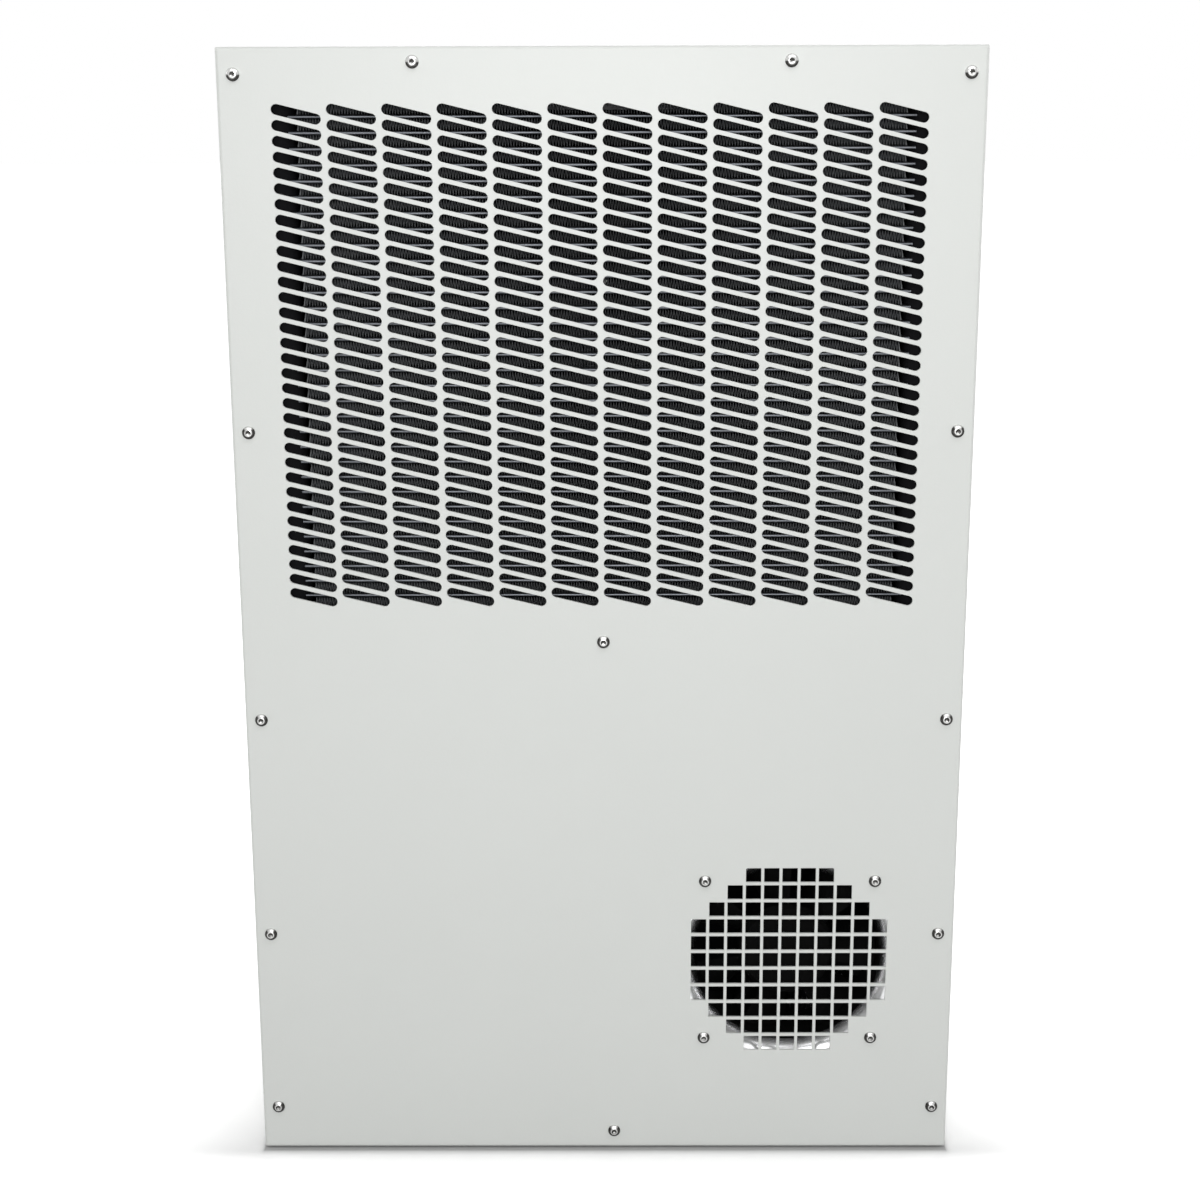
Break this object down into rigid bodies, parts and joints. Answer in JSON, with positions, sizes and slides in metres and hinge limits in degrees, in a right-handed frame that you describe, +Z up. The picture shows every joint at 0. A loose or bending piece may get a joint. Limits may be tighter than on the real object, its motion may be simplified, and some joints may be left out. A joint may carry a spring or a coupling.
{
  "type": "cabinet air conditioner",
  "caption": "Upright wall-mounted air conditioner for an electrical cabinet: light grey sheet-metal case with slanted vent slots, a round fan grille and button-head screws.",
  "frame": {"origin": "bottom centre of the bounding box, on the floor under the case", "axes": "+Z up, the slotted cover faces -Y, +X to the right when facing the cover"},
  "size_m": [0.435, 0.2202, 0.6805],
  "materials": {
    "cover_paint": "light grey powder coat, fine texture",
    "case_paint": "light grey powder coat, fine texture",
    "stainless": "bright stainless",
    "zinc_plate": "galvanised",
    "zinc_hardware": "zinc plated",
    "gasket_foam": "closed-cell foam",
    "insulation_foam": "closed-cell foam",
    "black_rubber": "matte",
    "tube_aluminium": "brazed, dull",
    "fin_coating": "dark blue-black coating",
    "header_coating": "matt black coating",
    "fan_casting": "die cast, painted black",
    "ring_aluminium": "spun, bright",
    "fan_plastic": "matte black",
    "motor_iron": "dull",
    "impeller_plastic": "matte black",
    "compressor_paint": "black enamel",
    "black_plastic": "matte",
    "copper": "drawn copper",
    "valve_brass": "machined",
    "board": "solder mask",
    "light_plastic": "moulded",
    "capacitor_can": "drawn can"
  },
  "bodies": {
    "case": {"accumulator": "compressor_paint", "accumulator_strap": "compressor_paint", "base_pan": "case_paint", "blower_bearings": "zinc_hardware", "blower_screws": "zinc_hardware", "blower_stator": "motor_iron", "cable_grommet": "black_rubber", "compressor_foot": "compressor_paint", "compressor_grommets": "black_rubber", "compressor_shell": "compressor_paint", "compressor_studs": "zinc_hardware", "compressor_terminal_cover": "black_plastic", "condenser_fins": "fin_coating", "condenser_headers": "header_coating", "condenser_side_plates": "tube_aluminium", "condenser_tubes": "tube_aluminium", "control_board": "board", "control_box": "zinc_plate", "control_box_lid": "zinc_plate", "cover_nuts": "zinc_hardware", "cover_screws": "stainless", "cross_rail": "zinc_plate", "discharge_pipe": "copper", "drain_spout": "black_plastic", "drip_tray": "black_plastic", "evaporator_baffle": "zinc_plate", "evaporator_fins": "fin_coating", "evaporator_headers": "tube_aluminium", "evaporator_side_plates": "tube_aluminium", "evaporator_tubes": "tube_aluminium", "expansion_pipes": "copper", "expansion_valve": "valve_brass", "fan_bearings": "zinc_hardware", "fan_frame": "fan_casting", "fan_inlet_ring": "ring_aluminium", "fan_screws": "stainless", "fan_stator": "motor_iron", "filter_drier": "copper", "front_cover": "cover_paint", "front_frame": "zinc_plate", "inlet_pipe": "copper", "inlet_ring": "zinc_plate", "left_side_panel": "case_paint", "liquid_pipe": "copper", "mounting_gasket": "gasket_foam", "mounting_inserts": "zinc_hardware", "partition": "header_coating", "partition_insulation": "insulation_foam", "pipe_grommets": "black_rubber", "rear_panel": "case_paint", "rear_screws": "zinc_hardware", "right_side_panel": "case_paint", "run_capacitor": "capacitor_can", "suction_pipe": "copper", "terminal_block": "light_plastic", "top_panel": "case_paint", "top_rail": "zinc_plate"},
    "fan": {"fan_rotor": "fan_plastic"},
    "blower": {"blower_impeller": "impeller_plastic", "blower_rotor": "motor_iron"}
  },
  "joints": [
    {"name": "fan_spin", "type": "hinge", "parent": "case", "child": "fan", "pos_m": [0.115, -0.0784, 0.1295], "axis": [0, 1, 0], "continuous": true},
    {"name": "blower_spin", "type": "hinge", "parent": "case", "child": "blower", "pos_m": [0, 0, 0.51087], "axis": [0, 1, 0], "continuous": true}
  ]
}
